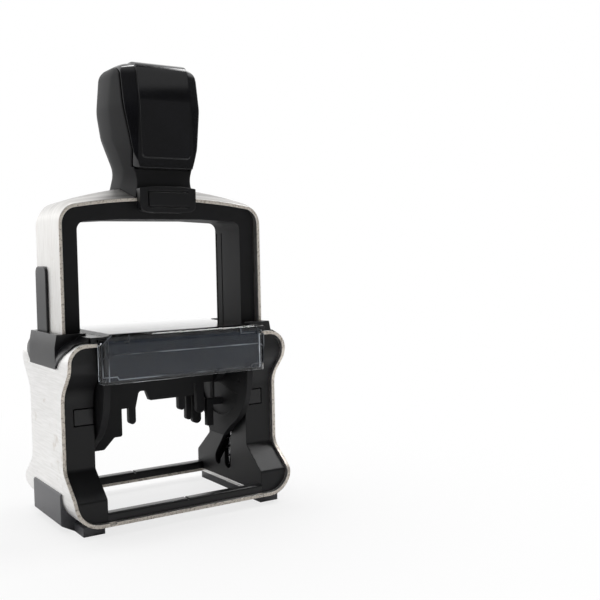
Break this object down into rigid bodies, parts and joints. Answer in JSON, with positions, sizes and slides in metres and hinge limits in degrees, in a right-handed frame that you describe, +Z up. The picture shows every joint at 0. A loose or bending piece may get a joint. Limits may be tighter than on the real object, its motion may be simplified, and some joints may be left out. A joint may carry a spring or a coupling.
{
  "type": "self-inking address stamp",
  "caption": "Self-inking address stamp: steel-clad base and sprung bow with a knob grip; pressing it turns the die over from the ink pad to the paper.",
  "frame": {"origin": "middle of the base's footprint, on the surface that the feet stand on", "axes": "+X to the right across the stamp, +Y from the index window to the back, +Z up along the press"},
  "size_m": [0.0838, 0.056, 0.1595],
  "materials": {
    "base_steel": "satin plated sheet steel",
    "bow_steel": "satin plated sheet steel",
    "moulded_black": "fine moulded texture",
    "gloss_black": "polished moulding",
    "soft_touch": "soft-touch lacquer",
    "clear_cover": "clear polished moulding",
    "dark_card": "printed card",
    "foot_rubber": "matt moulded rubber",
    "pin_steel": "ground",
    "spring_steel": "drawn wire",
    "die_rubber": "laser-cut stamp rubber",
    "ink_felt": "inked felt"
  },
  "bodies": {
    "base": {"base_shell": "base_steel", "left_liner": "moulded_black", "right_liner": "moulded_black", "front_rail": "moulded_black", "back_rail": "moulded_black", "left_shoulder": "moulded_black", "right_shoulder": "moulded_black", "pad_bridge": "moulded_black", "card_panel": "moulded_black", "rear_panel": "moulded_black", "index_window": "clear_cover", "index_card": "dark_card", "left_foot": "foot_rubber", "right_foot": "foot_rubber", "left_spring_post": "pin_steel", "right_spring_post": "pin_steel", "left_spring": "spring_steel", "right_spring": "spring_steel"},
    "left_lock_button": {"left_lock": "moulded_black"},
    "right_lock_button": {"right_lock": "moulded_black"},
    "bow": {"bow_band": "bow_steel", "bow_liner": "moulded_black", "left_strip": "moulded_black", "right_strip": "moulded_black", "left_axle_pin": "pin_steel", "right_axle_pin": "pin_steel", "grip_body": "soft_touch", "grip_cover": "gloss_black", "front_clip": "moulded_black", "back_clip": "moulded_black"},
    "die": {"die_carrier": "moulded_black", "left_follower": "pin_steel", "right_follower": "pin_steel", "die_plate": "moulded_black", "rubber_die": "die_rubber"},
    "cartridge": {"pad_tray": "moulded_black", "ink_pad": "ink_felt"}
  },
  "joints": [
    {"name": "bow_press", "type": "slide", "parent": "base", "child": "bow", "axis": [0, 0, -1], "range_m": [0, 0.037], "stiffness_N_per_m": 350, "springref_m": -0.03, "deforming": ["left_spring", "right_spring"]},
    {"name": "die_flip", "type": "hinge", "parent": "bow", "child": "die", "pos_m": [0, 0, 0.0477], "axis": [1, 0, 0], "range_deg": [0, 180]},
    {"name": "pad_slide", "type": "slide", "parent": "base", "child": "cartridge", "axis": [0, 1, 0], "range_m": [0, 0.042]},
    {"name": "lock_left", "type": "slide", "parent": "base", "child": "left_lock_button", "axis": [0, 1, 0], "range_m": [0, 0.0015], "stiffness_N_per_m": 300, "springref_m": -0.002},
    {"name": "lock_right", "type": "slide", "parent": "base", "child": "right_lock_button", "axis": [0, 1, 0], "range_m": [0, 0.0015], "stiffness_N_per_m": 300, "springref_m": -0.002}
  ],
  "couplings": [
    {"joint": "die_flip", "follows": "bow_press", "rad_per_m": 84.9}
  ]
}
